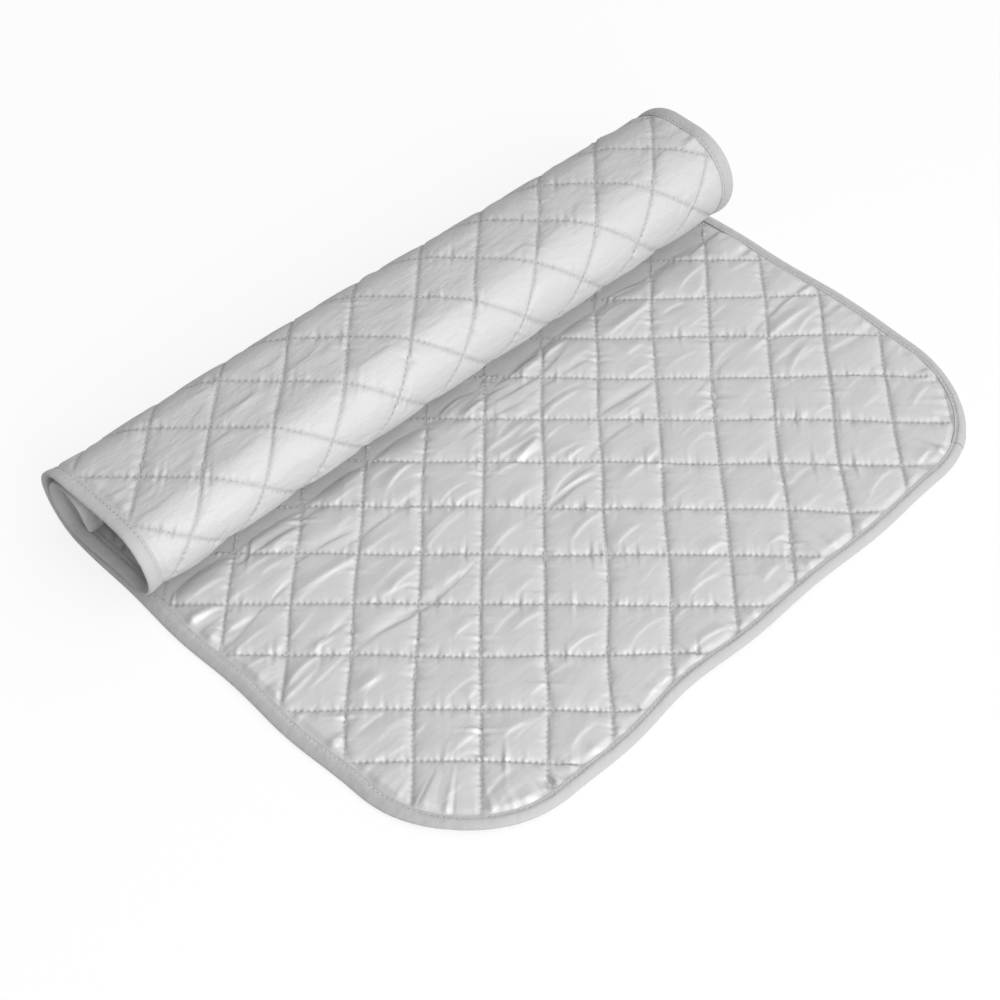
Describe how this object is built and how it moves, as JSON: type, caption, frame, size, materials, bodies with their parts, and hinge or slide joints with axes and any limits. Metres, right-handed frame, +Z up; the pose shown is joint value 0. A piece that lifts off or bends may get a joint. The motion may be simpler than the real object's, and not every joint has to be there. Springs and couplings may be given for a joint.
{
  "type": "ironing pad",
  "caption": "Quilted silver ironing mat with rounded corners and a taped edge, flat at the front and rolled up at the back; the flat part rolls up round the roll.",
  "frame": {"origin": "on the table, under the middle of the part's box", "axes": "+X along the roll and across the mat, +Y along the mat from its free front edge to the roll, +Z up from the table"},
  "size_m": [0.48, 0.3532, 0.0772],
  "materials": {
    "silver_face": "silver-coated cloth, satin sheen, quilted",
    "silver_back": "silver-coated cloth, satin sheen, quilted",
    "wadding": "soft white polyester wadding",
    "binding_tape": "matte grey woven tape"
  },
  "bodies": {
    "roll": {"face_cover_base": "silver_face", "wadding_base": "wadding", "back_cover_base": "silver_back", "binding_left_base": "binding_tape", "binding_right_base": "binding_tape", "face_cover_roll": "silver_face", "wadding_roll": "wadding", "back_cover_roll": "silver_back", "binding_roll": "binding_tape"},
    "row_01": {"face_cover_row_01": "silver_face", "wadding_row_01": "wadding", "back_cover_row_01": "silver_back", "binding_left_row_01": "binding_tape", "binding_right_row_01": "binding_tape"},
    "row_02": {"face_cover_row_02": "silver_face", "wadding_row_02": "wadding", "back_cover_row_02": "silver_back", "binding_left_row_02": "binding_tape", "binding_right_row_02": "binding_tape"},
    "row_03": {"face_cover_row_03": "silver_face", "wadding_row_03": "wadding", "back_cover_row_03": "silver_back", "binding_left_row_03": "binding_tape", "binding_right_row_03": "binding_tape"},
    "row_04": {"face_cover_row_04": "silver_face", "wadding_row_04": "wadding", "back_cover_row_04": "silver_back", "binding_left_row_04": "binding_tape", "binding_right_row_04": "binding_tape"},
    "row_05": {"face_cover_row_05": "silver_face", "wadding_row_05": "wadding", "back_cover_row_05": "silver_back", "binding_left_row_05": "binding_tape", "binding_right_row_05": "binding_tape"},
    "row_06": {"face_cover_row_06": "silver_face", "wadding_row_06": "wadding", "back_cover_row_06": "silver_back", "binding_left_row_06": "binding_tape", "binding_right_row_06": "binding_tape"},
    "row_07": {"face_cover_row_07": "silver_face", "wadding_row_07": "wadding", "back_cover_row_07": "silver_back", "binding_left_row_07": "binding_tape", "binding_right_row_07": "binding_tape"},
    "row_08": {"face_cover_row_08": "silver_face", "wadding_row_08": "wadding", "back_cover_row_08": "silver_back", "binding_front": "binding_tape"}
  },
  "joints": [
    {"name": "roll_up", "type": "hinge", "parent": "roll", "child": "row_01", "pos_m": [0, 0.04944, 0.0055], "axis": [-1, 0, 0], "range_deg": [0, 50]},
    {"name": "bend_02", "type": "hinge", "parent": "row_01", "child": "row_02", "pos_m": [0, 0.0239, 0.0055], "axis": [-1, 0, 0], "range_deg": [0, 48]},
    {"name": "bend_03", "type": "hinge", "parent": "row_02", "child": "row_03", "pos_m": [0, -0.00164, 0.0055], "axis": [-1, 0, 0], "range_deg": [0, 36]},
    {"name": "bend_04", "type": "hinge", "parent": "row_03", "child": "row_04", "pos_m": [0, -0.02718, 0.0055], "axis": [-1, 0, 0], "range_deg": [0, 20]},
    {"name": "bend_05", "type": "hinge", "parent": "row_04", "child": "row_05", "pos_m": [0, -0.05272, 0.0055], "axis": [-1, 0, 0], "range_deg": [0, 14]},
    {"name": "bend_06", "type": "hinge", "parent": "row_05", "child": "row_06", "pos_m": [0, -0.07826, 0.0055], "axis": [-1, 0, 0], "range_deg": [0, 12]},
    {"name": "bend_07", "type": "hinge", "parent": "row_06", "child": "row_07", "pos_m": [0, -0.1038, 0.0055], "axis": [-1, 0, 0], "range_deg": [0, 12]},
    {"name": "bend_08", "type": "hinge", "parent": "row_07", "child": "row_08", "pos_m": [0, -0.12934, 0.0055], "axis": [-1, 0, 0], "range_deg": [0, 14]}
  ],
  "couplings": [
    {"joint": "bend_02", "follows": "roll_up", "ratio": 0.96},
    {"joint": "bend_03", "follows": "roll_up", "ratio": 0.72},
    {"joint": "bend_04", "follows": "roll_up", "ratio": 0.4},
    {"joint": "bend_05", "follows": "roll_up", "ratio": 0.28},
    {"joint": "bend_06", "follows": "roll_up", "ratio": 0.24},
    {"joint": "bend_07", "follows": "roll_up", "ratio": 0.24},
    {"joint": "bend_08", "follows": "roll_up", "ratio": 0.28}
  ]
}
